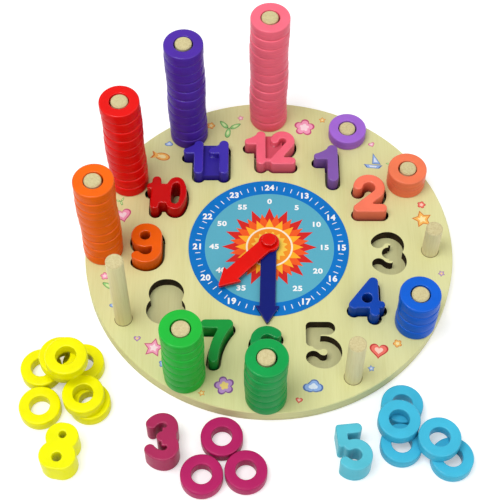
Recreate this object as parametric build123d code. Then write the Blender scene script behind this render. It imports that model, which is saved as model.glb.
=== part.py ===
"""Wooden teaching clock: a round board with two hands, number blocks, pegs and counting rings.

The origin is the centre of the board's underside. +Z points up through the dial, +Y to 12 o'clock
and +X to 3 o'clock. All lengths are in millimetres and all clock angles run clockwise from 12.
"""

from build123d import *
from math import cos, hypot, radians, sin
import os

# ------------------------------------------------------------------ board
board_d = 290.0
face_ply = 9.0            # upper board, cut right through for numbers and pegs
back_ply = 3.0            # lower board, the floor of every cut-out
board_edge_break = 0.6

# ------------------------------------------------------------------ dial print
dial_d = 127.0
dial_t = 0.4

# ------------------------------------------------------------------ pegs
peg_edge_inset = 14.5     # from the board's edge to the circle that pegs and numbers are set out from
peg_d = 13.0
peg_glue_gap = 0.05
peg_proud = 0.8           # how far a peg stands above its full count of rings
peg_chamfer = 0.9

# ------------------------------------------------------------------ rings
ring_d = 31.0
ring_bore = 15.0
ring_t = 10.3
ring_wobble = 0.4         # how far a ring lies off its peg's centre
wobble_turn = 64.0        # degrees from one ring's lean to the next one's

# ------------------------------------------------------------------ number blocks
numeral_t = 20.0
numeral_h = 36.6
digit_w = {1: 19.6, 2: 26.8, 3: 24.4, 4: 27.6, 5: 24.8, 6: 24.5, 7: 24.8, 8: 27.0, 9: 24.5}
double_h = 33.8           # height of 11 and 12
ten_h = 31.8
four_h = 34.6
stroke_w = 7.8
digit_strokes = {1: 8.8, 3: 7.4}    # where a digit's strokes differ from that
seat_gap = 1.7            # free space between a block and the wall of its cut-out
corner_r = 1.0            # softened inner corners of the blocks
tie_t = 13.5              # thickness of the low web that joins the digits of 11 and 12
tie_inset = 2.5           # how far that web stays back from the feet of the digits
tie_top_inset = 0.8       # and from their tops
waist_dip = 1.0           # depth of the notch at the back of the 3
three_swell = 0.4         # how much fuller the 3 is cut than the other blocks

# ------------------------------------------------------------------ hands and pivot
hand_t = 3.0
hand_w = 12.2
hand_hub_d = 16.4
hand_head_w = 18.2
hand_head_l = 16.0
hand_tip_r = 1.0
hand_edge_break = 0.4
minute_tip_gap = 5.4      # from the tip of the minute hand to the 6
hour_reach = 57.0
minute_angle = 181.5
hour_angle = 224.0
pin_d = 5.0
pin_head_d = 12.0
pin_head_t = 2.0
pin_press_gap = 0.02
pin_in_cap = 2.4
hand_running_gap = 0.05
washer_d = 13.0
washer_t = 0.5
washer_gap = 0.1
cap_d = 12.0
cap_t = 3.6
cap_round = 1.2
cap_float = 0.2           # end play between the cap and the hour hand

# ------------------------------------------------------------------ layout of the board
hour_step = 30.0
# For each hour: how far its number lies in from the peg circle, and how far round from its hour line.
numeral_seats = {
    1: (42.3, 2.4), 2: (37.8, 1.5), 3: (35.8, 3.7), 4: (39.4, 4.8), 5: (33.4, 5.3), 6: (34.8, 1.4),
    7: (32.0, -6.1), 8: (36.5, -2.2), 9: (34.5, -1.8), 10: (37.1, -1.3), 11: (35.3, -2.3), 12: (40.4, 1.1),
}
# The same for the pegs, which were drilled by eye.
peg_seats = {
    1: (2.1, 0.9), 2: (2.4, 1.2), 3: (3.2, 1.6), 4: (0.3, 1.5), 5: (-0.4, 1.8), 6: (-0.9, 1.5),
    7: (-0.1, -1.0), 8: (1.2, -0.4), 9: (0.4, -0.8), 10: (0.6, -0.6), 11: (0.6, -0.5), 12: (1.4, 0.2),
}
# How some blocks lie in their cut-outs: shifted along X and Y, and turned.
numeral_lies = {2: (-0.4, 0.3, 0.0), 4: (-0.6, 0.0, 0.0), 9: (-0.2, 0.0, 0.0), 10: (0.2, 0.0, -3.0)}
loose_hours = (3, 5, 8)

# ------------------------------------------------------------------ layout of the loose pieces
# Each loose number: distance out from the board's edge, clock angle, and its own turn.
loose_numerals = {3: (39.0, 205.1, -1.0), 5: (39.5, 161.1, 6.0), 8: (85.3, 221.0, -9.5)}
# Each heap's first ring: distance out from the board's edge, and clock angle.
heap_starts = {3: (20.9, 192.3), 5: (22.3, 144.4), 8: (56.4, 238.3)}
# Each further ring, placed from an earlier one of its heap at a clock bearing: "next" to it with a gap
# between their edges, or "over" it with an offset between their centres. The last value is its level.
heap_rings = {
    3: (("next", 1, 1.6, 205.7, 0), ("next", 2, 0.9, 84.3, 0)),
    5: (("next", 1, 0.4, 184.3, 0), ("next", 2, 6.5, 107.0, 0),
        ("over", 1, 17.6, 193.8, 1), ("over", 2, 26.4, 89.6, 1)),
    8: (("next", 1, 0.6, 82.2, 0), ("next", 1, 0.6, 177.1, 0), ("next", 3, 5.6, 84.1, 0),
        ("over", 4, 3.8, 282.0, 1), ("over", 1, 18.6, 85.7, 1),
        ("over", 6, 3.0, 222.3, 2), ("over", 7, 8.3, 133.1, 3)),
}

# ------------------------------------------------------------------ derived levels
board_r = board_d / 2
board_top = back_ply + face_ply
peg_circle_r = board_r - peg_edge_inset
lower_washer_z = board_top + dial_t
minute_hand_z = lower_washer_z + washer_t
upper_washer_z = minute_hand_z + hand_t
hour_hand_z = upper_washer_z + washer_t
cap_z = hour_hand_z + hand_t + cap_float
minute_reach = peg_circle_r - numeral_seats[6][0] - numeral_h / 2 - minute_tip_gap
on_floor = (Align.CENTER, Align.CENTER, Align.MIN)


# ------------------------------------------------------------------ small helpers
def clock_point(radius, angle):
    """The point at a radius and a clock angle."""
    return Vector(radius * sin(radians(angle)), radius * cos(radians(angle)))


def disc(diameter, thickness, z=0.0):
    return Pos(0, 0, z) * Cylinder(diameter / 2, thickness, align=on_floor)


def edges_at(solid, z):
    """The edges of a solid that lie wholly in the plane at height z."""
    flat = [edge for edge in solid.edges() if abs(edge.bounding_box().max.Z - z) < 1e-4]
    return [edge for edge in flat if abs(edge.bounding_box().min.Z - z) < 1e-4]


def stroke(path, width):
    """A round-ended stroke along a path."""
    return Sketch() + SlotArc(Wire(path.edges()), width)


def oval(width, height, end_r):
    """A closed oval of four tangent arcs, with its long axis along Y."""
    half_w, end_y = width / 2, height / 2 - end_r
    side_r = (half_w**2 + end_y**2 - end_r**2) / (2 * (half_w - end_r))
    side_x = side_r - half_w
    reach = end_r / hypot(side_x, end_y)
    join = (side_x * reach, end_y + end_y * reach)
    end = ThreePointArc((-join[0], join[1]), (0, height / 2), join)
    side = ThreePointArc(join, (half_w, 0), (join[0], -join[1]))
    return make_face([end, side, mirror(end, Plane.XZ), mirror(side, Plane.YZ)])


def soften(sketch, radius):
    """Round every inner corner of a sketch."""
    return offset(offset(sketch, radius), -radius)


# ------------------------------------------------------------------ the digits
# Each digit is drawn about its own middle. grow widens it evenly, for the cut-out that takes it.
def one(width, height, w, grow=0.0):
    a, b = (width - w) / 2, (height - w) / 2
    flag_w = 0.8 * stroke_w
    flag_y = 0.19 * height
    flag_end = (flag_w - width) / 2
    ramp_low = (flag_end, flag_y + flag_w / 2 + grow)
    ramp_high = (a, b + w / 2 + grow)
    ramp_sag = (0.5 * (ramp_low[0] + ramp_high[0]), 0.6 * ramp_low[1] + 0.4 * ramp_high[1])
    ramp = make_face([
        ThreePointArc(ramp_low, ramp_sag, ramp_high),
        Line(ramp_high, (a, flag_y)),
        Line((a, flag_y), (flag_end, flag_y)),
        Line((flag_end, flag_y), ramp_low),
    ])
    stem = stroke(Line((a, -b), (a, b)), w + 2 * grow)
    return stem + stroke(Line((flag_end, flag_y), (a, flag_y)), flag_w + 2 * grow) + ramp


def two(width, height, w, grow=0.0):
    a, b = (width - w) / 2, (height - w) / 2
    bow_r = 0.93 * a
    bow = CenterArc((0, b - bow_r), bow_r, 168, -216)
    run = Line(bow @ 1, (-a, -b))
    foot = Line((-a, -b), (a, -b))
    return sum((stroke(part, w + 2 * grow) for part in (bow, run, foot)), Sketch())


def three(width, height, w, grow=0.0):
    a, lobe_r = (width - w) / 2, (height - w) / 4
    flank_x = w / 2 - waist_dip
    flank = ((0, lobe_r), (0.86 * a + flank_x, lobe_r), (a + flank_x, -lobe_r), (0, -lobe_r))
    halves = Sketch() + make_face(Polyline(*flank, close=True))
    for side, lobe_end in ((1, 0.86 * a), (-1, a)):
        lobe = CenterArc((lobe_end - lobe_r, side * lobe_r), lobe_r, 90 * side, -180 * side)
        lip = TangentArc(lobe @ 0, (-0.96 * a, side * 1.38 * lobe_r), tangent=(-1, 0))
        waist = Line(lobe @ 1, (0, 0))
        halves += [stroke(part, w + 2 * grow) for part in (lobe, lip, waist)]
    return halves


def four(width, height, w, grow=0.0):
    a, b = (width - w) / 2, (height - w) / 2
    post_x = 0.2 * width
    bar_w = 0.8 * w
    bar_y = -0.2 * height
    bar_end = (width - bar_w) / 2
    corners = ((post_x, b), (-a, bar_y), (post_x, bar_y))
    slope = stroke(Line(corners[0], corners[1]), w + 2 * grow)
    post = stroke(Line((post_x, b), (post_x, -b)), w + 2 * grow)
    bar = stroke(Line((-a, bar_y), (bar_end, bar_y)), bar_w + 2 * grow)
    return slope + post + bar + make_face(Polyline(*corners, close=True))


def five(width, height, w, grow=0.0):
    a, b = (width - w) / 2, (height - w) / 2
    back_h = 0.485 * height
    bowl_r = 0.98 * a
    back_x = -0.88 * a
    top = stroke(Line((0.45 * a, b), (back_x, b)), w + 2 * grow)
    back = RectangleRounded(w + 2 * grow, back_h + 2 * grow, 0.3 * w + grow)
    bowl = CenterArc((a - bowl_r, bowl_r - b), bowl_r, 115, -205)
    lip = TangentArc(bowl @ 1, (-0.92 * a, -0.73 * b), tangent=(-1, 0))
    bowl = stroke(bowl, w + 2 * grow) + stroke(lip, w + 2 * grow)
    return top + Pos(back_x, (height - back_h) / 2) * back + bowl


def nine(width, height, w, grow=0.0):
    a, b = (width - w) / 2, (height - w) / 2
    bowl_r = 0.305 * height
    bowl = Pos(bowl_r - width / 2, height / 2 - bowl_r) * Circle(bowl_r + grow)
    shoulder = CenterArc((0, b - a), a, 90, -90)
    side = Line(shoulder @ 1, (a, a - b))
    heel = CenterArc((0, a - b), a, 0, -90)
    lip = TangentArc(heel @ 1, (-0.87 * a, -0.79 * b), tangent=(-1, 0))
    spine = sum((stroke(part, w + 2 * grow) for part in (shoulder, side, heel, lip)), Sketch())
    return bowl + spine + Pos(0, height / 2 - bowl_r) * Rectangle(bowl_r, bowl_r)


def seven(width, height, w, grow=0.0):
    a, b = (width - w) / 2, (height - w) / 2
    top = Line((-a, b), (a, b))
    leg = ThreePointArc((a, b), (0.1 * a, 0.04 * b), (-0.27 * a, -b))
    return stroke(top, w + 2 * grow) + stroke(leg, w + 2 * grow)


def eight(width, height, w, grow=0.0):
    lobe_h = 0.6 * height
    lobe_y = (height - lobe_h) / 2
    lobes = Sketch()
    for side, lobe_w in ((1, 0.885 * width), (-1, width)):
        spread = (lobe_w - lobe_h) / 2
        line = Line((-spread, side * lobe_y), (spread, side * lobe_y))
        lobes += stroke(line, lobe_h + 2 * grow)
    return lobes


def zero(width, height, w, grow=0.0):
    return oval(width + 2 * grow, height + 2 * grow, 0.37 * width + grow)


# ------------------------------------------------------------------ the number blocks
zero_w = 18.0
double_one_w = 16.4
narrow_w = 7.2            # upright of the 1 in 10
digit_pitch = 20.6        # from digit to digit in 11
small_hole_d = 5.4        # upper hole of 8
eye_hole_d = 7.8          # holes of 4, 6 and 9


def round_hole(x, y, diameter):
    return Pos(x, y) * Circle(diameter / 2)


def numeral_outline(hour, grow=0.0):
    """The outline of a number without its holes, as drawn for a block or grown for its cut-out."""
    if hour < 10:
        draw = {1: one, 2: two, 3: three, 4: four, 5: five, 6: nine, 7: seven, 8: eight, 9: nine}[hour]
        height = four_h if hour == 4 else numeral_h
        digit = draw(digit_w[hour], height, digit_strokes.get(hour, stroke_w), grow)
        return Rot(0, 0, 180) * digit if hour == 6 else digit
    if hour == 10:
        tie = Pos(-4.4, -0.6) * Rectangle(9.0, 0.6 * ten_h + 2 * grow)
        digits = Pos(-11.0, 0) * one(11.2, ten_h, narrow_w, grow)
        return digits + tie + Pos(7.0, 0) * zero(zero_w, ten_h, stroke_w, grow)
    if hour == 11:
        left = Pos(-digit_pitch / 2, 0) * one(double_one_w, double_h, stroke_w, grow)
        return left + Pos(digit_pitch / 2, 0) * one(double_one_w, double_h, stroke_w, grow)
    neck = Pos(-2.2, -12.6) * Rectangle(6.0, 3.6 + 2 * grow)
    digits = Pos(-12.3, 0) * one(17.2, double_h, stroke_w, grow)
    return digits + neck + Pos(10.2, 0) * two(21.2, double_h, stroke_w - 0.6, grow)


def tie_outline(hour, grow=0.0):
    """The low web between the digits of 11 and 12."""
    spans = {11: (-6.3, 14.2), 12: (-8.0, 10.0)}
    left, right = spans[hour]
    low, high = tie_inset - double_h / 2 - grow, double_h / 2 - tie_top_inset + grow
    return Pos((left + right) / 2, (low + high) / 2) * Rectangle(right - left, high - low)


def numeral_holes(hour):
    """The open eyes of a number."""
    eye_y = numeral_h / 2 - 0.31 * numeral_h
    holes = {
        4: [round_hole(0.4, -1.4, eye_hole_d)],
        6: [round_hole(1.2, -eye_y, eye_hole_d)],
        8: [round_hole(0, 8.9, small_hole_d), round_hole(0, -8.6, eye_hole_d - 0.8)],
        9: [round_hole(-1.2, eye_y, eye_hole_d)],
        10: [Pos(7.0, 0) * oval(7.2, 0.63 * ten_h, 2.9)],
    }
    return holes.get(hour, [])


def numeral_block(hour):
    """A number block about its own middle, standing on z = 0."""
    outline = soften(numeral_outline(hour, three_swell if hour == 3 else 0.0), corner_r)
    for hole in numeral_holes(hour):
        outline -= hole
    block = extrude(outline, numeral_t)
    if hour in (11, 12):
        block += extrude(tie_outline(hour), tie_t)
    return block


def seat_cutter(hour):
    """The cut-out that takes a number block, with no islands left in its eyes."""
    outline = numeral_outline(hour, seat_gap)
    if hour in (11, 12):
        outline += tie_outline(hour, seat_gap)
    filled = Sketch() + [Face(face.outer_wire()) for face in outline.faces()]
    return extrude(filled, face_ply)


def seat_place(hour):
    inset, swing = numeral_seats[hour]
    return clock_point(peg_circle_r - inset, hour_step * hour + swing)


def place_numeral(hour):
    """A number block where it lies: in its cut-out, or loose on the table."""
    if hour not in loose_hours:
        spot = seat_place(hour)
        slip_x, slip_y, turn = numeral_lies.get(hour, (0.0, 0.0, 0.0))
        return Pos(spot.X + slip_x, spot.Y + slip_y, back_ply) * Rot(0, 0, turn) * numeral_block(hour)
    out, angle, turn = loose_numerals[hour]
    spot = clock_point(board_r + out, angle)
    return Pos(spot.X, spot.Y, 0) * Rot(0, 0, turn) * numeral_block(hour)


# ------------------------------------------------------------------ board, dial, pegs
def peg_place(hour):
    inset, swing = peg_seats[hour]
    return clock_point(peg_circle_r - inset, hour_step * hour + swing)


def make_board_face():
    """Upper board with the number cut-outs, the peg holes and the stepped centre hole."""
    board = disc(board_d, face_ply, back_ply)
    board = chamfer(edges_at(board, board_top), board_edge_break)
    for hour in range(1, 13):
        seat, peg = seat_place(hour), peg_place(hour)
        board -= Pos(seat.X, seat.Y, back_ply) * seat_cutter(hour)
        board -= Pos(peg.X, peg.Y, 0) * disc(peg_d + 2 * peg_glue_gap, face_ply, back_ply)
    board -= disc(pin_d + 2 * pin_press_gap, face_ply, back_ply)
    return board - disc(pin_head_d + 2 * pin_press_gap, pin_head_t, back_ply)


def make_board_back():
    board = disc(board_d, back_ply)
    return chamfer(edges_at(board, 0), board_edge_break)


def make_dial_print():
    return disc(dial_d, dial_t, board_top) - disc(pin_d + 2 * washer_gap, dial_t, board_top)


def make_peg(hour):
    """A dowel glued into the upper board, just long enough for its count of rings."""
    spot = peg_place(hour)
    length = face_ply + hour * ring_t + peg_proud
    peg = disc(peg_d, length, back_ply)
    return Pos(spot.X, spot.Y, 0) * chamfer(edges_at(peg, back_ply + length), peg_chamfer)


# ------------------------------------------------------------------ rings
def ring(x, y, z):
    body = disc(ring_d, ring_t) - disc(ring_bore, ring_t)
    return Pos(x, y, z) * body


def ring_stack(hour):
    """The rings on one peg, each a little off the peg's centre."""
    spot = peg_place(hour)
    rings = []
    for level in range(hour):
        lean = wobble_turn * (level + hour)
        x = spot.X + ring_wobble * cos(radians(lean))
        y = spot.Y + ring_wobble * sin(radians(lean))
        rings.append(ring(x, y, board_top + level * ring_t))
    return rings


def ring_heap(hour):
    """The loose rings of one hour, each placed from an earlier one."""
    out, angle = heap_starts[hour]
    places = [(clock_point(board_r + out, angle), 0)]
    for how, base, distance, bearing, level in heap_rings[hour]:
        pitch = ring_d + distance if how == "next" else distance
        places.append((places[base - 1][0] + clock_point(pitch, bearing), level))
    return [ring(spot.X, spot.Y, level * ring_t) for spot, level in places]


# ------------------------------------------------------------------ hands and pivot
def make_hand(reach, angle, z):
    """A flat hand with a round hub and an arrow head, pointing at a clock angle."""
    shoulder = reach - hand_head_l
    bar = Pos(0, shoulder / 2) * Rectangle(hand_w, shoulder)
    head = make_face(Polyline(
        (-hand_head_w / 2, shoulder), (hand_head_w / 2, shoulder), (0, reach), close=True))
    tip = head.vertices().sort_by(Axis.Y)[-1]
    head = fillet(tip, hand_tip_r)
    shape = Circle(hand_hub_d / 2) + bar + head
    hand = extrude(shape, hand_t)
    hand = chamfer(edges_at(hand, hand_t), hand_edge_break)
    hand -= disc(pin_d + 2 * hand_running_gap, hand_t)
    return Pos(0, 0, z) * Rot(0, 0, -angle) * hand


def make_washer(z):
    return disc(washer_d, washer_t, z) - disc(pin_d + 2 * washer_gap, washer_t, z)


def make_pivot_pin():
    """Headed pin, its head held between the two boards."""
    head = disc(pin_head_d, pin_head_t, back_ply)
    return head + disc(pin_d, cap_z + pin_in_cap - back_ply, back_ply)


def make_hub_cap():
    cap = disc(cap_d, cap_t, cap_z)
    cap = fillet(edges_at(cap, cap_z + cap_t), cap_round)
    return cap - disc(pin_d + 2 * pin_press_gap, pin_in_cap, cap_z)


# ------------------------------------------------------------------ write every piece
def save(name, shape):
    solids = shape if isinstance(shape, list) else shape.solids()
    body = solids[0] if len(solids) == 1 else Compound(children=list(solids))
    body.label = name
    export_step(body, f"parts/{name}.step")


def build_all():
    os.makedirs("parts", exist_ok=True)
    save("board_face", make_board_face())
    save("board_back", make_board_back())
    save("dial_print", make_dial_print())
    save("pivot_pin", make_pivot_pin())
    save("hub_cap", make_hub_cap())
    save("lower_washer", make_washer(lower_washer_z))
    save("upper_washer", make_washer(upper_washer_z))
    save("minute_hand", make_hand(minute_reach, minute_angle, minute_hand_z))
    save("hour_hand", make_hand(hour_reach, hour_angle, hour_hand_z))
    for hour in range(1, 13):
        save(f"peg_{hour}", make_peg(hour))
        save(f"numeral_{hour}", place_numeral(hour))
        if hour not in loose_hours:
            save(f"rings_{hour}", ring_stack(hour))
            continue
        for count, piece in enumerate(ring_heap(hour), start=1):
            save(f"loose_ring_{hour}_{count}", piece)


build_all()
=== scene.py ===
"""Finish of a wooden teaching clock: painted rings and number blocks, printed dial, plain wood.

All lengths are in metres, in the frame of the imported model: the origin is the centre of the board's
underside, +Z points up through the dial and +Y to 12 o'clock. Clock angles run clockwise from 12.
"""

import bmesh
import bpy
from math import cos, pi, radians, sin, sqrt
from mathutils import Matrix, Vector


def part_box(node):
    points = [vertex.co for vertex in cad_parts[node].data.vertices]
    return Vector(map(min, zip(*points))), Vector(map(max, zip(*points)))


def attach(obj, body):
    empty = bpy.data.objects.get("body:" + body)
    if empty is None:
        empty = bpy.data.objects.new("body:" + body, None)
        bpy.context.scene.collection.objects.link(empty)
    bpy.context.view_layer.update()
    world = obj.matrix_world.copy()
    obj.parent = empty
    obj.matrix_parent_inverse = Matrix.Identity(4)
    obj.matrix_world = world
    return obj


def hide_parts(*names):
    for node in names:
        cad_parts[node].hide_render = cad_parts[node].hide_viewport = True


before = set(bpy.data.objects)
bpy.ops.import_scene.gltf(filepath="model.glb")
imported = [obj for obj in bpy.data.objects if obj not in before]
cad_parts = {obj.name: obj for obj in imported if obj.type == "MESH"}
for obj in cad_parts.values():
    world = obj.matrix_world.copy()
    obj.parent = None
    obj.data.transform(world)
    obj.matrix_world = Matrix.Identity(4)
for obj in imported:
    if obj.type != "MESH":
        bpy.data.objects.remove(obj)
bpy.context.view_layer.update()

MM = 0.001

# ------------------------------------------------------------------ sizes shared with the model
board_top = 12.0 * MM
board_r = 145.0 * MM
dial_top = 12.4 * MM
ring_r = 15.5 * MM
ring_bore_r = 7.5 * MM
ring_t = 10.3 * MM
ring_wobble = 0.4 * MM     # how far a ring lies off the middle of its peg
wobble_turn = 64.0         # degrees from one ring's side to the next one's
loose_hours = (3, 5, 8)
block_top = 23.0 * MM      # of the blocks that lie in their cut-outs

# ------------------------------------------------------------------ finish sizes
ring_outer_round = 1.2 * MM
ring_bore_round = 0.9 * MM
block_round = 1.1 * MM
hand_round = 0.5 * MM      # under the 0.6 mm round of their tips
round_steps = 4            # faces across each rounded edge of a block or hand
ink_t = 0.03 * MM          # thickness of one printed layer
rim_depth = 2.0 * MM       # upright faces nearer the board's rim than this show its plies
ply_pitch = 3.0 * MM
shade_depth = 8.0 * MM       # painted shade: how far down from its top a seated block's paint grows darker
shade_tone = 0.7             # how dark that painted shade is from there on

# ------------------------------------------------------------------ tolerances
weld = 0.001 * MM          # points nearer than this are one
ink_weld = 0.0001 * MM     # the same in the printed layers, which are thin
stroke_merge = 0.078 * MM  # the same in the figures, whose points double where thickened strokes meet
level_slack = 0.002 * MM   # a point this near a level lies on it

# ------------------------------------------------------------------ colours, as painted
ring_paint = {
    1: (166, 107, 218), 2: (248, 126, 86), 3: (188, 32, 102), 4: (14, 98, 216), 5: (68, 190, 224),
    6: (16, 162, 76), 7: (34, 188, 60), 8: (252, 248, 0), 9: (248, 106, 14), 10: (238, 20, 16),
    11: (82, 46, 170), 12: (254, 114, 136),
}
block_paint = {
    1: (132, 90, 174), 2: (254, 126, 96), 3: (176, 44, 92), 4: (12, 72, 180), 5: (90, 196, 216),
    6: (12, 150, 72), 7: (22, 154, 62), 8: (250, 250, 0), 9: (242, 98, 6), 10: (202, 8, 8),
    11: (66, 50, 178), 12: (250, 108, 130),
}
paint_slots = {
    1: "paint_lilac", 2: "paint_coral", 3: "paint_magenta", 4: "paint_blue", 5: "paint_light_blue",
    6: "paint_dark_green", 7: "paint_green", 8: "paint_yellow", 9: "paint_orange", 10: "paint_red",
    11: "paint_violet", 12: "paint_pink",
}


def colour(rgb):
    """A colour given in screen values, as the linear colour that a shader takes."""
    linear = [(c / 255 / 12.92) if c <= 10 else ((c / 255 + 0.055) / 1.055) ** 2.4 for c in rgb]
    return (*linear, 1.0)


def clock_point(radius, angle):
    return Vector((radius * sin(radians(angle)), radius * cos(radians(angle)), 0))


# ------------------------------------------------------------------ node trees
def new_group(name, inputs, outputs):
    group = bpy.data.node_groups.new(name, "ShaderNodeTree")
    for label, kind, value in inputs:
        socket = group.interface.new_socket(name=label, in_out="INPUT", socket_type=kind)
        if value is not None:
            socket.default_value = value
    for label, kind in outputs:
        group.interface.new_socket(name=label, in_out="OUTPUT", socket_type=kind)
    return group, group.nodes.new("NodeGroupInput"), group.nodes.new("NodeGroupOutput")


class Graph:
    """A node tree, with short ways to add the nodes that the finishes are made of."""

    def __init__(self, tree):
        self.tree = tree

    def add(self, kind):
        return self.tree.nodes.new(kind)

    def link(self, source, target):
        self.tree.links.new(source, target)

    def feed(self, socket, value):
        """Set a socket to a number or a colour, or link another node's output to it."""
        if isinstance(value, (int, float, tuple)):
            socket.default_value = value
        else:
            self.link(value, socket)

    def noise(self, vector, scale, detail=4.0, roughness=0.55):
        node = self.add("ShaderNodeTexNoise")
        node.inputs["Scale"].default_value = scale
        node.inputs["Detail"].default_value = detail
        node.inputs["Roughness"].default_value = roughness
        self.link(vector, node.inputs["Vector"])
        return node.outputs["Fac"]

    def maths(self, operation, a, b=0.0):
        node = self.add("ShaderNodeMath")
        node.operation = operation
        self.feed(node.inputs[0], a)
        self.feed(node.inputs[1], b)
        return node.outputs[0]

    def remap(self, value, source, target=(0.0, 1.0)):
        """The value carried from one range to another, and held at the ends of it."""
        node = self.add("ShaderNodeMapRange")
        for label, number in zip(("From Min", "From Max", "To Min", "To Max"), (*source, *target)):
            node.inputs[label].default_value = number
        self.link(value, node.inputs["Value"])
        return node.outputs["Result"]

    def mix(self, factor, a, b, blend="MIX"):
        node = self.add("ShaderNodeMix")
        node.data_type = "RGBA"
        node.blend_type = blend
        colour_inputs = [s for s in node.inputs if s.type == "RGBA"]
        for socket, value in zip((node.inputs["Factor"], *colour_inputs), (factor, a, b)):
            self.feed(socket, value)
        return next(s for s in node.outputs if s.type == "RGBA")

    def length(self, vector):
        node = self.add("ShaderNodeVectorMath")
        node.operation = "LENGTH"
        self.link(vector, node.inputs[0])
        return node.outputs["Value"]

    def parts(self, vector):
        """The X, Y and Z of a vector."""
        node = self.add("ShaderNodeSeparateXYZ")
        self.link(vector, node.inputs[0])
        return node.outputs

    def stretch(self, vector, scale=(1.0, 1.0, 1.0), turn=(0.0, 0.0, 0.0)):
        node = self.add("ShaderNodeMapping")
        node.inputs["Scale"].default_value = scale
        node.inputs["Rotation"].default_value = turn
        self.link(vector, node.inputs["Vector"])
        return node.outputs[0]


def make_grain_group():
    """Straight wood grain along the vector's Y: soft bands, fine fibres and short pores."""
    group, start, end = new_group(
        "Straight grain",
        [("Vector", "NodeSocketVector", None), ("Light", "NodeSocketColor", (0.8, 0.75, 0.5, 1)),
         ("Dark", "NodeSocketColor", (0.6, 0.5, 0.3, 1)), ("Contrast", "NodeSocketFloat", 1.0)],
        [("Colour", "NodeSocketColor"), ("Height", "NodeSocketFloat")])
    graph = Graph(group)
    along = graph.stretch(start.outputs["Vector"], scale=(1.0, 0.045, 1.0))
    bands = graph.noise(along, scale=55.0, detail=3.0)
    fibres = graph.noise(along, scale=900.0, detail=2.0, roughness=0.7)
    patches = graph.noise(start.outputs["Vector"], scale=14.0, detail=2.0)
    band_mask = graph.remap(bands, (0.38, 0.66), (0.0, 0.55))
    fibre_mask = graph.remap(fibres, (0.42, 0.75), (0.0, 0.45))
    patch_mask = graph.remap(patches, (0.3, 0.7), (0.0, 0.2))
    mask = graph.maths("ADD", band_mask, graph.maths("ADD", fibre_mask, patch_mask))
    mask = graph.maths("MULTIPLY", mask, start.outputs["Contrast"])
    tone = graph.mix(mask, start.outputs["Light"], start.outputs["Dark"])
    graph.link(tone, end.inputs["Colour"])
    graph.link(graph.maths("SUBTRACT", 1.0, fibre_mask), end.inputs["Height"])
    return group


def make_paint_group():
    """A brushed and dipped paint film: slow changes of tone, orange peel, a few rubbed spots."""
    group, start, end = new_group(
        "Paint film",
        [("Vector", "NodeSocketVector", None), ("Colour", "NodeSocketColor", (0.8, 0.1, 0.1, 1)),
         ("Gloss", "NodeSocketFloat", 0.3)],
        [("Colour", "NodeSocketColor"), ("Roughness", "NodeSocketFloat"), ("Height", "NodeSocketFloat")])
    graph = Graph(group)
    slow = graph.noise(start.outputs["Vector"], scale=60.0, detail=2.0)
    peel = graph.noise(start.outputs["Vector"], scale=520.0, detail=2.0)
    rubs = graph.noise(start.outputs["Vector"], scale=130.0, detail=6.0, roughness=0.7)
    shaded = graph.mix(1.0, start.outputs["Colour"], graph.remap(slow, (0.3, 0.7), (0.9, 1.0)), "MULTIPLY")
    rub_mask = graph.remap(rubs, (0.6, 0.75))
    rough = graph.maths("ADD", start.outputs["Gloss"], graph.maths("MULTIPLY", rub_mask, 0.12))
    graph.link(shaded, end.inputs["Colour"])
    graph.link(rough, end.inputs["Roughness"])
    graph.link(graph.maths("ADD", peel, graph.maths("MULTIPLY", slow, 2.0)), end.inputs["Height"])
    return group


grain_group = make_grain_group()
paint_group = make_paint_group()


# ------------------------------------------------------------------ materials
def new_material(name):
    material = bpy.data.materials.new(name)
    material.use_nodes = True
    graph = Graph(material.node_tree)
    shader = next(n for n in material.node_tree.nodes if n.type == "BSDF_PRINCIPLED")
    place = graph.add("ShaderNodeTexCoord")
    return material, graph, shader, place.outputs["Object"]


def add_group(graph, group, place, **values):
    node = graph.add("ShaderNodeGroup")
    node.node_tree = group
    graph.link(place, node.inputs["Vector"])
    for label, value in values.items():
        node.inputs[label].default_value = value
    return node.outputs


def add_bump(graph, shader, height, strength, distance):
    bump = graph.add("ShaderNodeBump")
    bump.inputs["Strength"].default_value = strength
    bump.inputs["Distance"].default_value = distance
    graph.link(height, bump.inputs["Height"])
    graph.link(bump.outputs["Normal"], shader.inputs["Normal"])


def face_flatness(graph):
    """How level a face is: 1 for one that lies flat, 0 for one that stands upright."""
    geometry = graph.add("ShaderNodeNewGeometry")
    return graph.maths("ABSOLUTE", graph.parts(geometry.outputs["Normal"])["Z"])


def upright_mask(graph, flatness):
    """1 on faces that stand upright."""
    return graph.maths("LESS_THAN", flatness, 0.5)


def edge_mask(graph, flatness):
    """1 on the rounded edges between upright faces and flat ones."""
    return graph.maths("MULTIPLY", graph.remap(flatness, (0.3, 0.6)),
                       graph.remap(flatness, (0.9, 0.985), (1.0, 0.0)))


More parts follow.
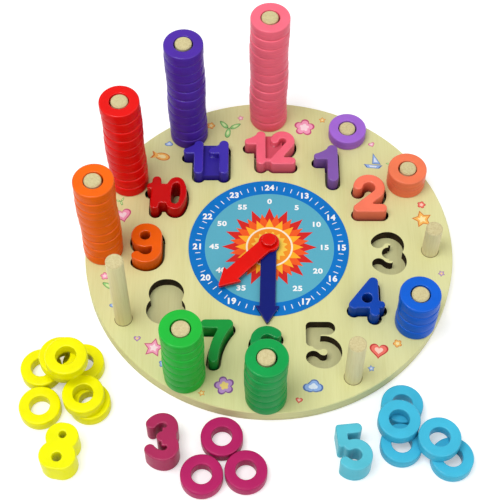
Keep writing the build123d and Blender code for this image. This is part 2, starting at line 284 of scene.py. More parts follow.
def paint(name, rgb, gloss=0.28, shine=0.12, edge_shine=0.36, shade_top=None, turned=False):
    """Glossy paint: painted shade below the level shade_top, where a block sits in its cut-out; lathe marks
    where turned.
    """
    material, graph, shader, place = new_material(name)
    film = add_group(graph, paint_group, place, Colour=colour(rgb), Gloss=gloss)
    tone, height = film["Colour"], film["Height"]
    flatness = face_flatness(graph)
    upright, rounded = upright_mask(graph, flatness), edge_mask(graph, flatness)
    # Painted shade: a block that sits in its cut-out darkens towards its foot.
    if shade_top is not None:
        seat_shade = graph.remap(graph.parts(place)["Z"], (shade_top - shade_depth, shade_top), (shade_tone, 1.0))
        tone = graph.mix(1.0, tone, seat_shade, "MULTIPLY")
    if turned:
        around = graph.stretch(place, scale=(0.03, 0.03, 1.0))
        marks = graph.noise(around, scale=900.0, detail=2.0, roughness=0.6)
        cut = graph.maths("MULTIPLY", graph.remap(marks, (0.35, 0.65)), upright)
        tone = graph.mix(1.0, tone, graph.remap(cut, (0.0, 1.0), (1.0, 0.9)), "MULTIPLY")
        height = graph.maths("SUBTRACT", height, graph.maths("MULTIPLY", cut, 1.5))
    graph.link(tone, shader.inputs["Base Color"])
    polish = graph.maths("MULTIPLY", rounded, 0.1)
    graph.link(graph.maths("SUBTRACT", film["Roughness"], polish), shader.inputs["Roughness"])
    broad = graph.remap(upright, (0.0, 1.0), (shine, 0.4 * shine))
    specular = graph.maths("ADD", broad, graph.maths("MULTIPLY", rounded, edge_shine))
    graph.link(specular, shader.inputs["Specular IOR Level"])
    add_bump(graph, shader, height, strength=0.25, distance=0.2 * MM)
    return material


def make_board_wood(name, light, dark):
    """Clear-coated plywood: grain on its faces, plies on its rim, scorched walls in its cut-outs with
    painted shade.
    """
    material, graph, shader, place = new_material(name)
    grain = add_group(graph, grain_group, place, Light=colour(light), Dark=colour(dark), Contrast=0.7)
    upright = upright_mask(graph, face_flatness(graph))
    spot = graph.parts(place)
    flat = graph.add("ShaderNodeCombineXYZ")
    graph.link(spot["X"], flat.inputs["X"])
    graph.link(spot["Y"], flat.inputs["Y"])
    inside = graph.maths("LESS_THAN", graph.length(flat.outputs[0]), board_r - rim_depth)
    scorched = graph.maths("MULTIPLY", upright, inside)
    rim = graph.maths("SUBTRACT", upright, scorched)
    ply = graph.maths("SINE", graph.maths("MULTIPLY", spot["Z"], 2 * pi / ply_pitch))
    ply_mask = graph.maths("MULTIPLY", graph.remap(ply, (-1.0, 1.0), (0.0, 0.35)), rim)
    soot = graph.remap(graph.noise(place, scale=160.0, detail=3.0), (0.35, 0.7))
    # Cut-out walls: scorch from the cut, its colours made darker still as painted shade down in the holes.
    scorch_and_shade = graph.mix(soot, colour((26, 18, 12)), colour((62, 46, 30)))
    tone = graph.mix(ply_mask, grain["Colour"], colour((206, 196, 148)))
    tone = graph.mix(scorched, tone, scorch_and_shade)
    graph.link(tone, shader.inputs["Base Color"])
    graph.link(graph.remap(scorched, (0.0, 1.0), (0.48, 0.8)), shader.inputs["Roughness"])
    add_bump(graph, shader, grain["Height"], strength=0.12, distance=0.2 * MM)
    shader.inputs["Specular IOR Level"].default_value = 0.15
    return material


def make_peg_wood():
    """Bare dowel: grain along its length and open pores on its end."""
    material, graph, shader, place = new_material("peg_dowel")
    lengthwise = graph.stretch(place, turn=(pi / 2, 0, 0))
    grain = add_group(graph, grain_group, lengthwise, Light=colour((236, 228, 180)),
                      Dark=colour((214, 198, 146)), Contrast=0.8)
    pores = graph.remap(graph.noise(place, scale=700.0, detail=3.0, roughness=0.7), (0.35, 0.7), (0.0, 0.6))
    end_tone = graph.mix(pores, colour((216, 205, 156)), colour((180, 162, 112)))
    tone = graph.mix(upright_mask(graph, face_flatness(graph)), end_tone, grain["Colour"])
    graph.link(tone, shader.inputs["Base Color"])
    graph.link(graph.remap(grain["Height"], (0.5, 1.0), (0.66, 0.52)), shader.inputs["Roughness"])
    add_bump(graph, shader, grain["Height"], strength=0.3, distance=0.3 * MM)
    shader.inputs["Specular IOR Level"].default_value = 0.15
    return material


def make_ink():
    """Printing ink, its colour stored on the piece, with the fibres of the paper under it."""
    material, graph, shader, place = new_material("printing_ink")
    stored = graph.add("ShaderNodeAttribute")
    stored.attribute_name = "ink"
    mottle = graph.noise(place, scale=900.0, detail=2.0)
    faded = graph.remap(mottle, (0.3, 0.7), (0.96, 1.0))
    graph.link(graph.mix(1.0, stored.outputs["Color"], faded, "MULTIPLY"), shader.inputs["Base Color"])
    graph.link(graph.remap(mottle, (0.3, 0.7), (0.38, 0.5)), shader.inputs["Roughness"])
    shader.inputs["Specular IOR Level"].default_value = 0.15
    return material


def make_metal(name, rgb, rough):
    """Drawn metal, with streaks that are duller and darker."""
    material, graph, shader, place = new_material(name)
    streaks = graph.noise(place, scale=700.0, detail=3.0)
    graph.link(graph.remap(streaks, (0.3, 0.7), (rough - 0.06, rough + 0.08)), shader.inputs["Roughness"])
    darker = colour(tuple(int(0.8 * c) for c in rgb))
    tone = graph.mix(graph.remap(streaks, (0.3, 0.7), (0.0, 0.3)), colour(rgb), darker)
    graph.link(tone, shader.inputs["Base Color"])
    shader.inputs["Metallic"].default_value = 1.0
    return material


board_wood = make_board_wood("board_plywood", (226, 225, 166), (210, 207, 141))
# The backing is a darker copy of the face's plywood: painted shade on the floors of the cut-outs.
shaded_backing_wood = make_board_wood("backing_plywood_shaded", (214, 212, 158), (196, 191, 134))
peg_wood = make_peg_wood()
ink = make_ink()
dial_paper = paint("dial_paper_blue", (6, 118, 202), gloss=0.42)
red_plastic = paint("hand_plastic_red", (230, 14, 4), gloss=0.3)
blue_plastic = paint("hand_plastic_blue", (12, 26, 116), gloss=0.3)
nylon = paint("washer_nylon", (225, 225, 220), gloss=0.45, shine=0.2)
steel = make_metal("pin_steel", (180, 182, 185), rough=0.3)
ring_materials = {h: paint(f"ring_paint_{h}", rgb, edge_shine=0.16, turned=True)
                  for h, rgb in ring_paint.items()}
# Seated blocks get painted shade towards their feet; the loose ones don't.
block_materials = {h: paint(f"block_paint_{h}", rgb, shade_top=None if h in loose_hours else block_top)
                   for h, rgb in block_paint.items()}


def dress(node, material):
    """Give a CAD node its material."""
    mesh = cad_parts[node].data
    mesh.materials.clear()
    mesh.materials.append(material)


dress("board_face", board_wood)
dress("board_back", shaded_backing_wood)
for hour in range(1, 13):
    dress(f"peg_{hour}", peg_wood)
dress("dial_print", dial_paper)
dress("pivot_pin", steel)
dress("lower_washer", nylon)
dress("upper_washer", nylon)


# ------------------------------------------------------------------ pieces
def new_piece(name, mesh, body, slot, *nodes):
    piece = bpy.data.objects.new(name, mesh)
    bpy.context.scene.collection.objects.link(piece)
    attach(piece, body)
    if nodes:
        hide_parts(*nodes)
    return piece


def foot_of(node, level=None):
    """The middle of a CAD node's box, at its foot or at a level given."""
    low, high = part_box(node)
    return Vector(((low.x + high.x) / 2, (low.y + high.y) / 2, low.z if level is None else level))


def smooth_by_angle(mesh, angle):
    mesh.polygons.foreach_set("use_smooth", [True] * len(mesh.polygons))
    mesh.set_sharp_from_angle(angle=radians(angle))


def flat_faces_flat(mesh, name):
    """The mesh with normals weighted by area and level faces shaded level, so that only edges look round."""
    carrier = bpy.data.objects.new(name + "_carrier", mesh)
    bpy.context.scene.collection.objects.link(carrier)
    modifier = carrier.modifiers.new("weighted", "WEIGHTED_NORMAL")
    modifier.keep_sharp = True
    modifier.weight = 100      # the most there is
    bpy.context.view_layer.update()
    depsgraph = bpy.context.evaluated_depsgraph_get()
    weighted = bpy.data.meshes.new_from_object(carrier.evaluated_get(depsgraph))
    weighted.name = name
    normals = [corner.vector.copy() for corner in weighted.corner_normals]
    for face in weighted.polygons:
        heights = [weighted.vertices[i].co.z for i in face.vertices]
        if max(heights) - min(heights) < level_slack:
            for corner in face.loop_indices:
                normals[corner] = Vector((0, 0, 1 if face.normal.z > 0 else -1))
    weighted.normals_split_custom_set(normals)
    carrier.modifiers.remove(modifier)
    bpy.data.objects.remove(carrier)
    bpy.data.meshes.remove(mesh)
    return weighted


def turned_ring_mesh():
    """One ring: a section with rounded corners, turned about Z, standing on z = 0."""
    around, arc_steps = 72, 5
    corners = [
        (ring_r, 0.0, ring_outer_round, 270), (ring_r, ring_t, ring_outer_round, 0),
        (ring_bore_r, ring_t, ring_bore_round, 90), (ring_bore_r, 0.0, ring_bore_round, 180),
    ]
    section = []
    for x, z, rounding, first in corners:
        centre_x = x - rounding if x == ring_r else x + rounding
        centre_z = z + rounding if z == 0.0 else z - rounding
        for step in range(arc_steps + 1):
            angle = radians(first + 90 * step / arc_steps)
            section.append((centre_x + rounding * cos(angle), centre_z + rounding * sin(angle)))
    bm = bmesh.new()
    rows = []
    for turn in range(around):
        angle = 2 * pi * turn / around
        rows.append([bm.verts.new((x * cos(angle), x * sin(angle), z)) for x, z in section])
    for turn in range(around):
        this_row, next_row = rows[turn], rows[(turn + 1) % around]
        for i in range(len(section)):
            j = (i + 1) % len(section)
            bm.faces.new((this_row[i], next_row[i], next_row[j], this_row[j]))
    bmesh.ops.recalc_face_normals(bm, faces=bm.faces)
    mesh = bpy.data.meshes.new("turned_ring")
    bm.to_mesh(mesh)
    bm.free()
    smooth_by_angle(mesh, 40)
    return mesh


def make_stack_tree():
    """Geometry Nodes: copies of one ring, stacked from a foot point, each off the middle its own way."""
    tree = bpy.data.node_groups.new("Ring stack", "GeometryNodeTree")
    for label, kind in (("Geometry", "NodeSocketGeometry"), ("Count", "NodeSocketInt"),
                        ("Pitch", "NodeSocketFloat"), ("Wobble", "NodeSocketFloat"),
                        ("Wobble Turn", "NodeSocketFloat"), ("First Step", "NodeSocketInt"),
                        ("Foot", "NodeSocketVector"), ("Paint", "NodeSocketMaterial")):
        tree.interface.new_socket(name=label, in_out="INPUT", socket_type=kind)
    tree.interface.new_socket(name="Geometry", in_out="OUTPUT", socket_type="NodeSocketGeometry")
    graph = Graph(tree)
    start, end = graph.add("NodeGroupInput"), graph.add("NodeGroupOutput")
    line = graph.add("GeometryNodeMeshLine")
    rise = graph.add("ShaderNodeCombineXYZ")
    graph.link(start.outputs["Pitch"], rise.inputs["Z"])
    graph.link(start.outputs["Count"], line.inputs["Count"])
    graph.link(start.outputs["Foot"], line.inputs["Start Location"])
    graph.link(rise.outputs[0], line.inputs["Offset"])
    index = graph.add("GeometryNodeInputIndex")
    step = graph.maths("ADD", index.outputs[0], start.outputs["First Step"])
    lean = graph.maths("MULTIPLY", step, start.outputs["Wobble Turn"])
    shift = graph.add("ShaderNodeCombineXYZ")
    for axis, operation in (("X", "COSINE"), ("Y", "SINE")):
        part = graph.maths(operation, lean)
        graph.link(graph.maths("MULTIPLY", part, start.outputs["Wobble"]), shift.inputs[axis])
    move = graph.add("GeometryNodeSetPosition")
    graph.link(line.outputs[0], move.inputs["Geometry"])
    graph.link(shift.outputs[0], move.inputs["Offset"])
    copies = graph.add("GeometryNodeInstanceOnPoints")
    graph.link(move.outputs[0], copies.inputs["Points"])
    graph.link(start.outputs["Geometry"], copies.inputs["Instance"])
    real = graph.add("GeometryNodeRealizeInstances")
    graph.link(copies.outputs[0], real.inputs[0])
    finish = graph.add("GeometryNodeSetMaterial")
    graph.link(real.outputs[0], finish.inputs["Geometry"])
    graph.link(start.outputs["Paint"], finish.inputs["Material"])
    graph.link(finish.outputs[0], end.inputs[0])
    return tree


ring_mesh = turned_ring_mesh()
stack_tree = make_stack_tree()
stack_inputs = {item.name: item.identifier for item in stack_tree.interface.items_tree
                if item.in_out == "INPUT"}


def ring_column(name, body, hour, foot, count, wobble):
    """The rings of one body as one mesh."""
    carrier = bpy.data.objects.new(name + "_carrier", ring_mesh.copy())
    bpy.context.scene.collection.objects.link(carrier)
    modifier = carrier.modifiers.new("stack", "NODES")
    modifier.node_group = stack_tree
    values = {"Count": count, "Pitch": ring_t, "Wobble": wobble, "Wobble Turn": radians(wobble_turn),
              "First Step": hour, "Foot": foot, "Paint": ring_materials[hour]}
    for label, value in values.items():
        modifier[stack_inputs[label]] = value
    bpy.context.view_layer.update()
    depsgraph = bpy.context.evaluated_depsgraph_get()
    mesh = bpy.data.meshes.new_from_object(carrier.evaluated_get(depsgraph))
    carrier.modifiers.remove(modifier)
    bpy.data.objects.remove(carrier)
    return new_piece(name, mesh, body, paint_slots[hour], body)


for hour in range(1, 13):
    if hour in loose_hours:
        for count in range(1, hour + 1):
            node = f"loose_ring_{hour}_{count}"
            ring_column(f"painted_ring_{hour}_{count}", node, hour, foot_of(node), 1, 0.0)
    else:
        foot = foot_of(f"peg_{hour}", board_top)
        ring_column(f"painted_rings_{hour}", f"rings_{hour}", hour, foot, hour, ring_wobble)


def lies_on(item, level):
    return all(abs(v.co.z - level) < level_slack for v in item.verts)


def rounded_copy(node, name, rounding, material, both_ends):
    """A CAD node's mesh with its top edges, and its foot's where asked, rounded over."""
    in_plane, sharp = radians(0.4), radians(30)
    bm = bmesh.new()
    bm.from_mesh(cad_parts[node].data)
    bmesh.ops.remove_doubles(bm, verts=bm.verts, dist=weld)
    bmesh.ops.dissolve_limit(bm, angle_limit=in_plane, verts=bm.verts, edges=bm.edges)
    low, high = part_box(node)
    levels = [high.z, low.z] if both_ends else [high.z]
    edges = [e for e in bm.edges if any(lies_on(e, level) for level in levels)
             and len(e.link_faces) == 2 and e.calc_face_angle(0) > sharp]
    bmesh.ops.bevel(bm, geom=edges, offset=rounding, offset_type="OFFSET", segments=round_steps,
                    profile=0.5, affect="EDGES", clamp_overlap=False)
    # The flat ends are filled anew from their rims, because the bevel can fold them.
    for level, outwards in ((high.z, 1), (low.z, -1)):
        ends = [f for f in bm.faces if lies_on(f, level)]
        bmesh.ops.delete(bm, geom=ends, context="FACES")
        rim = [e for e in bm.edges if len(e.link_faces) == 1 and lies_on(e, level)]
        bmesh.ops.triangle_fill(bm, use_beauty=True, edges=rim, normal=(0, 0, outwards))
    bmesh.ops.triangulate(bm, faces=[f for f in bm.faces if len(f.verts) > 4])
    bmesh.ops.recalc_face_normals(bm, faces=bm.faces)
    mesh = bpy.data.meshes.new(name)
    bm.to_mesh(mesh)
    bm.free()
    smooth_by_angle(mesh, 50)
    mesh = flat_faces_flat(mesh, name)
    mesh.materials.append(material)
    return mesh


for hour in range(1, 13):
    node = f"numeral_{hour}"
    mesh = rounded_copy(node, f"block_{hour}", block_round, block_materials[hour], both_ends=True)
    new_piece(f"painted_block_{hour}", mesh, node, paint_slots[hour], node)


# ------------------------------------------------------------------ printing
def circle(radius, centre=(0, 0), count=96):
    return [(centre[0] + radius * cos(2 * pi * i / count), centre[1] + radius * sin(2 * pi * i / count))
            for i in range(count)]


def flat_figures(words, middle_at, height, widen):
    """The figures as a flat mesh, its middle at a point given."""
    cap_share = 0.73      # height of a figure, as a share of the font's size
    thicken = 0.055       # growth of the strokes on each side, as a share of the figure's height
    spacing = 1.08        # room between the figures, where 1 is the font's own
    curve = bpy.data.curves.new("printed_text", "FONT")
    curve.body = words
    curve.size = height / cap_share
    curve.offset = thicken * height
    curve.space_character = spacing
    curve.align_x, curve.align_y = "CENTER", "CENTER"
    curve.resolution_u = 4
    carrier = bpy.data.objects.new("printed_text", curve)
    bpy.context.scene.collection.objects.link(carrier)
    bpy.context.view_layer.update()
    depsgraph = bpy.context.evaluated_depsgraph_get()
    mesh = bpy.data.meshes.new_from_object(carrier.evaluated_get(depsgraph))
    bpy.data.objects.remove(carrier)
    xs, ys = [v.co.x for v in mesh.vertices], [v.co.y for v in mesh.vertices]
    middle = Vector(((min(xs) + max(xs)) / 2, (min(ys) + max(ys)) / 2, 0))
    squeeze = Matrix.Diagonal((widen, 1, 1, 1))
    mesh.transform(Matrix.Translation(middle_at) @ squeeze @ Matrix.Translation(-middle))
    return mesh


class Print:
    """Thin closed layers of ink, gathered in one mesh with a stored colour."""

    def __init__(self):
        self.bm = bmesh.new()
        self.ink = self.bm.loops.layers.float_color.new("ink")

    def tint(self, faces, rgb):
        for face in faces:
            for loop in face.loops:
                loop[self.ink] = colour(rgb)

    def layer(self, points, z, rgb):
        """One layer of ink over all of an outline."""
        top = [self.bm.verts.new((x, y, z + ink_t)) for x, y in points]
        base = [self.bm.verts.new((x, y, z)) for x, y in points]
        faces = [self.bm.faces.new(top), self.bm.faces.new(list(reversed(base)))]
        for i in range(len(points)):
            j = (i + 1) % len(points)
            faces.append(self.bm.faces.new((base[i], base[j], top[j], top[i])))
        self.tint(faces, rgb)

    def band(self, centre, inner, outer, z, rgb, count=64):
        """A flat ring of ink."""
        levels = ((inner, z), (outer, z), (outer, z + ink_t), (inner, z + ink_t))
        rows = [[self.bm.verts.new((x, y, height)) for x, y in circle(radius, centre, count)]
                for radius, height in levels]
        faces = []
        for row, above in zip(rows, rows[1:] + rows[:1]):
            for i in range(count):
                j = (i + 1) % count
                faces.append(self.bm.faces.new((row[i], row[j], above[j], above[i])))
        self.tint(faces, rgb)

    def text(self, words, centre, height, z, rgb, widen=1.0):
        """Figures of one layer of ink."""
        mesh = flat_figures(words, (*centre, z), height, widen)
        figures = bmesh.new()
        figures.from_mesh(mesh)
        bmesh.ops.remove_doubles(figures, verts=figures.verts, dist=stroke_merge)
        bmesh.ops.beautify_fill(figures, faces=figures.faces, edges=figures.edges)
        raised = bmesh.ops.extrude_face_region(figures, geom=figures.faces[:])["geom"]
        corners = [item for item in raised if isinstance(item, bmesh.types.BMVert)]
        bmesh.ops.translate(figures, verts=corners, vec=(0, 0, ink_t))
        figures.to_mesh(mesh)
        figures.free()
        before = set(self.bm.faces)
        self.bm.from_mesh(mesh)
        self.tint([f for f in self.bm.faces if f not in before], rgb)
        bpy.data.meshes.remove(mesh)

    def shift(self, offset, clockwise):
        """Move all of the print across its sheet, after a turn by so many degrees."""
        swing = Matrix.Rotation(radians(-clockwise), 4, "Z")
        bmesh.ops.transform(self.bm, verts=self.bm.verts, matrix=Matrix.Translation(offset) @ swing)

    def mesh(self, name):
        bmesh.ops.remove_doubles(self.bm, verts=self.bm.verts, dist=ink_weld)
        bmesh.ops.recalc_face_normals(self.bm, faces=self.bm.faces)
        for face in self.bm.faces:
            face.smooth = False
        mesh = bpy.data.meshes.new(name)
        self.bm.to_mesh(mesh)
        self.bm.free()
        mesh.materials.append(ink)
        return mesh


def rays(outer, inner, count, turn=0.0):
    """A star with pointed rays."""
    points = []
    for i in range(2 * count):
        radius = outer if i % 2 == 0 else inner
        angle = radians(turn) + pi * i / count
        points.append((radius * sin(angle), radius * cos(angle)))
    return points[::-1]


# ------------------------------------------------------------------ printed dial
dial_ring_r = 51.1 * MM
hour_text_r, hour_text_h = 57.4 * MM, 5.3 * MM
minute_text_r, minute_text_h, minute_text_widen = 43.8 * MM, 4.6 * MM, 1.15
tick_low, tick_high, tick_half = 54.9 * MM, 58.8 * MM, 0.31 * MM
white = (248, 250, 250)
sky = (91, 175, 197)
sun_rays = 16
half_a_ray = 180 / sun_rays
# From below: each layer's outline and ink.
sun_layers = [
    (rays(37.5 * MM, 25.0 * MM, sun_rays), (214, 36, 30)),
    (rays(32.0 * MM, 21.5 * MM, sun_rays, half_a_ray), (244, 92, 34)),
    (rays(27.0 * MM, 18.5 * MM, sun_rays), (252, 178, 40)),
    (circle(18.6 * MM), (250, 240, 214)),
    (circle(17.2 * MM), (246, 150, 36)),
    (rays(14.8 * MM, 11.6 * MM, sun_rays, half_a_ray), (252, 208, 78)),
]
# The print lies a little off the middle of its sheet, and turned clockwise.
print_shift, print_turn = (0.5 * MM, -0.6 * MM, 0.0), 0.6


def tick_outline(clock_angle):
    out, across = clock_point(1, clock_angle), clock_point(1, clock_angle + 90)
    corners = [out * tick_high - across * tick_half, out * tick_high + across * tick_half,
               out * tick_low + across * tick_half, out * tick_low - across * tick_half]
    return [(p.x, p.y) for p in corners]


dial_art = Print()
dial_art.layer(circle(dial_ring_r), dial_top, sky)
for hour in range(1, 13):
    spot = clock_point(hour_text_r, 30 * hour)
    dial_art.text(str(12 + hour), spot.xy, hour_text_h, dial_top, white)
    spot = clock_point(minute_text_r, 30 * hour)
    dial_art.text(str(5 * hour % 60), spot.xy, minute_text_h, dial_top + ink_t, white, minute_text_widen)
    for minute in range(1, 5):
        dial_art.layer(tick_outline(30 * hour + 6 * minute), dial_top, white)
for step, (outline, rgb) in enumerate(sun_layers, start=1):
    dial_art.layer(outline, dial_top + step * ink_t, rgb)
dial_art.shift(print_shift, print_turn)
new_piece("dial_artwork", dial_art.mesh("dial_artwork"), "board", "dial_print")


# ------------------------------------------------------------------ printed motifs round the rim
def lobes(circles, count=72):
    """The outline of overlapping circles, seen from the origin, which lies inside the shape."""
    points = []
    for i in range(count):
        ux, uy = cos(2 * pi * i / count), sin(2 * pi * i / count)
        reach = 0.0
        for x, y, r in circles:
            along, off = x * ux + y * uy, x * uy - y * ux
            if abs(off) < r:
                reach = max(reach, along + sqrt(r * r - off * off))
        points.append((reach * ux, reach * uy))
    return points


def heart_outline(count=48):
    points = []
    for i in range(count):
        t = -2 * pi * i / count
        height = (13 * cos(t) - 5 * cos(2 * t) - 2 * cos(3 * t) - cos(4 * t)) / 17
        points.append((16 / 17 * sin(t) ** 3, height))
    return points


def leaf_outline(count=32):
    angles = [2 * pi * i / count for i in range(count)]
    return [(cos(t), 0.42 * sin(t) * (1 - 0.25 * cos(t))) for t in angles]


def fish_outline(count=32, last=13):
    """A fish seen from its side: an oval that is open at its tail, and a forked tail."""
    angles = [2 * pi * i / count for i in range(-last, last + 1)]
    body = [(0.68 * cos(t) + 0.2, 0.42 * sin(t)) for t in angles]
    return body + [(-0.85, 0.42), (-0.66, 0.0), (-0.85, -0.42)]


sail = [(-0.1, -0.35), (0.75, -0.35), (-0.1, 0.95)]
hull = [(-0.9, -0.45), (-0.6, -0.85), (0.6, -0.85), (0.9, -0.45)]
petal_r, petal_out = 0.4, 0.62
petals = [(petal_out * cos(2 * pi * i / 5), petal_out * sin(2 * pi * i / 5), petal_r) for i in range(5)]
flower_heart = [(0, 0, petal_r)]
puffs = [
    (0, 0, 0.5), (-0.5, -0.1, 0.36), (0.5, -0.12, 0.38),
    (0.12, 0.26, 0.4), (-0.25, -0.2, 0.36), (0.25, -0.2, 0.36),
]
# Each motif's outlines: the outline about its own middle, then its place, size and turn in the motif.
motif_shapes = {
    "star": [(rays(1.0, 0.52, 5), (0, 0), 1.0, 0)],
    "flower": [(lobes(petals + flower_heart), (0, 0), 1.0, 0)],
    "heart": [(heart_outline(), (0, 0), 0.95, 0)],
    "cloud": [(lobes(puffs), (0, 0), 1.15, 0)],
    "sprig": [(leaf_outline(), (0.55, 0.42), 0.55, 40), (leaf_outline(), (-0.55, 0.42), 0.55, 140),
              (leaf_outline(), (0.0, -0.45), 0.6, 90)],
    "boat": [(sail, (0, 0), 1.0, 0), (hull, (0, 0), 1.0, 0)],
    "fish": [(fish_outline(), (0, 0), 1.1, 0)],
}
# Each motif has three inks: a dark line all over, its fill on that and a light heart on top.
ink_shares = (1.0, 0.82, 0.45)
rose = ((206, 84, 128), (248, 164, 194), (255, 226, 232))
leafy = ((92, 150, 84), (150, 212, 128), (220, 240, 170))
amber = ((214, 120, 50), (250, 190, 96), (255, 236, 170))
sea = ((84, 116, 178), (150, 184, 236), (226, 238, 252))
plum = ((132, 84, 150), (196, 150, 212), (250, 220, 130))
coral_red = ((198, 60, 60), (244, 120, 104), (255, 210, 190))
# Each motif: its shape, clock angle, distance out and size in millimetres, turn, and inks.
motifs = [
    ("flower", 14.5, 123, 8.6, 10, rose),
    ("boat", 46.0, 121, 8.6, -6, sea),
    ("star", 78.0, 126, 8.4, 12, amber),
    ("fish", 107.0, 127, 8.2, 20, leafy),
    ("heart", 138.5, 124, 8.0, -8, coral_red),
    ("cloud", 165.5, 127, 7.6, 0, sea),
    ("flower", 195.5, 127, 7.6, 30, plum),
    ("star", 224.0, 126, 8.4, -10, rose),
    ("sprig", 252.0, 126, 9.0, 8, leafy),
    ("heart", 284.5, 121, 8.0, 14, rose),
    ("fish", 315.0, 126, 8.4, -14, amber),
    ("sprig", 344.5, 122, 9.0, -10, leafy),
    ("star", 20.0, 135, 3.2, 0, amber),
    ("heart", 40.5, 133, 3.0, 20, rose),
    ("sprig", 51.5, 130, 3.6, 30, leafy),
    ("flower", 72.0, 130, 3.4, 0, coral_red),
    ("cloud", 84.0, 131, 3.4, 0, sea),
    ("star", 100.5, 137, 3.0, 25, plum),
    ("sprig", 113.5, 124, 3.6, -30, leafy),
    ("flower", 132.0, 130, 3.4, 40, amber),
    ("star", 145.0, 132, 3.0, 5, sea),
    ("heart", 171.0, 136, 3.0, -10, coral_red),
    ("star", 201.5, 138, 3.0, 15, amber),
    ("flower", 217.5, 131, 3.4, 10, sea),
    ("heart", 230.5, 130, 3.0, 0, plum),
    ("cloud", 246.0, 131, 3.4, 0, sea),
    ("flower", 258.0, 131, 3.4, 25, rose),
    ("star", 278.5, 130, 3.0, 0, sea),
    ("sprig", 290.0, 127, 3.6, 20, leafy),
    ("heart", 309.5, 134, 3.0, 0, coral_red),
    ("cloud", 321.0, 131, 3.4, 0, sea),
    ("flower", 338.5, 130, 3.4, 0, amber),
    ("star", 350.0, 131, 3.0, 12, rose),
]
# The drill scorched the edge of each peg's hole, from and to this far outside the peg.
scorch_from, scorch_to = 0.03 * MM, 0.45 * MM
scorch_brown = (112, 96, 58)


def swung(point, degrees):
    """A point turned about the origin."""
    angle = radians(degrees)
    x, y = point
    return x * cos(angle) - y * sin(angle), x * sin(angle) + y * cos(angle)


def stamp(rim_art, shape, centre, size, turn, inks):
    """Print a motif on the board, its inks one over the other."""
    for outline, (right, up), scale, own_turn in motif_shapes[shape]:
        middle_x = sum(x for x, y in outline) / len(outline)
        middle_y = sum(y for x, y in outline) / len(outline)
        for step, (share, rgb) in enumerate(zip(ink_shares, inks)):
            points = []
            for x, y in outline:
                nested = (middle_x + share * (x - middle_x), middle_y + share * (y - middle_y))
                x, y = swung(nested, own_turn)
                x, y = swung((size * (right + scale * x), size * (up + scale * y)), turn)
                points.append((centre.x + x, centre.y + y))
            rim_art.layer(points, board_top + step * ink_t, rgb)


rim_art = Print()
for shape, clock_angle, out_mm, size_mm, turn, inks in motifs:
    stamp(rim_art, shape, clock_point(out_mm * MM, clock_angle), size_mm * MM, turn, inks)
for hour in range(1, 13):
    low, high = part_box(f"peg_{hour}")
    peg_r = (high.x - low.x) / 2
    centre = foot_of(f"peg_{hour}").xy
    rim_art.band(centre, peg_r + scorch_from, peg_r + scorch_to, board_top, scorch_brown)
new_piece("rim_motifs", rim_art.mesh("rim_motifs"), "board", "board_wood")

# ------------------------------------------------------------------ hands and hub
hands = (("minute_hand", blue_plastic, "hand_blue"), ("hour_hand", red_plastic, "hand_red"))
for node, material, slot in hands:
    mesh = rounded_copy(node, node + "_moulded", hand_round, material, both_ends=False)
    new_piece(node + "_moulded", mesh, node, slot, node)
dress("hub_cap", red_plastic)

# ------------------------------------------------------------------ floor, light and camera
floor_half = 6.0                     # half the width of the floor, in metres
floor_gap = 0.1 * MM                 # between it and the board's underside
glow_near, glow_far = 0.34, 0.49     # the floor's own light, round the board and far from it
glow_from, glow_to = 0.4, 1.5        # where it goes from the one to the other, in metres
ambient = 0.62                       # light from all round, where 1 shows as white
lamp_aim = Vector((0, 0, 0.03))
camera_aim = Vector((-14.85, -3.16, 12.0)) * MM
camera_distance = 1027.3 * MM
camera_rise = radians(57.44)


def direct_rays(graph):
    """1 for what the camera sees, also in a shine or through glass, and 0 for light on the object."""
    path = graph.add("ShaderNodeLightPath")
    indirect = graph.maths("MAXIMUM", path.outputs["Is Glossy Ray"], path.outputs["Is Transmission Ray"])
    return graph.maths("MAXIMUM", path.outputs["Is Camera Ray"], indirect)


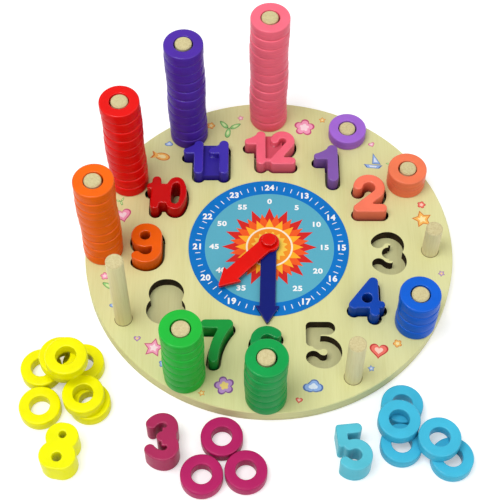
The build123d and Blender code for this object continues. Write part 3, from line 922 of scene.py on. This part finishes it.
def make_floor():
    mesh = bpy.data.meshes.new("floor")
    bm = bmesh.new()
    bmesh.ops.create_grid(bm, x_segments=1, y_segments=1, size=floor_half)
    bm.to_mesh(mesh)
    bm.free()
    floor = bpy.data.objects.new("floor", mesh)
    floor.location.z = -floor_gap
    bpy.context.scene.collection.objects.link(floor)
    material, graph, shader, place = new_material("studio_floor")
    shader.inputs["Base Color"].default_value = (0.86, 0.86, 0.86, 1)
    shader.inputs["Roughness"].default_value = 1.0
    shader.inputs["Specular IOR Level"].default_value = 0.0
    shader.inputs["Emission Color"].default_value = (1, 1, 1, 1)
    glow = graph.remap(graph.length(place), (glow_from, glow_to), (glow_near, glow_far))
    graph.link(graph.maths("MULTIPLY", direct_rays(graph), glow), shader.inputs["Emission Strength"])
    mesh.materials.append(material)


def make_world():
    world = bpy.data.worlds.new("studio")
    bpy.context.scene.world = world
    world.use_nodes = True
    background = next(n for n in world.node_tree.nodes if n.type == "BACKGROUND")
    background.inputs["Color"].default_value = (1, 1, 1, 1)
    graph = Graph(world.node_tree)
    strength = graph.remap(direct_rays(graph), (0.0, 1.0), (ambient, 1.0))
    graph.link(strength, background.inputs["Strength"])


def lamp(name, place, size, power):
    light = bpy.data.lights.new(name, "AREA")
    light.shape, light.size, light.energy = "DISK", size, power
    holder = bpy.data.objects.new(name, light)
    bpy.context.scene.collection.objects.link(holder)
    holder.location = place
    holder.rotation_euler = (lamp_aim - Vector(place)).to_track_quat("-Z", "Y").to_euler()


def make_camera():
    camera_data = bpy.data.cameras.new("camera")
    camera_data.sensor_width = 36.0
    camera_data.lens = 93.6
    camera_data.clip_start = 0.05
    camera = bpy.data.objects.new("camera", camera_data)
    bpy.context.scene.collection.objects.link(camera)
    camera.location = camera_aim + camera_distance * Vector((0, -cos(camera_rise), sin(camera_rise)))
    camera.rotation_euler = (pi / 2 - camera_rise, 0, 0)
    bpy.context.scene.camera = camera


make_floor()
make_world()
lamp("key", place=(-0.45, -0.25, 1.6), size=0.8, power=12.5)
lamp("fill", place=(0.9, -1.0, 0.9), size=1.0, power=2.5)
make_camera()

bpy.context.scene.view_settings.view_transform = "Standard"
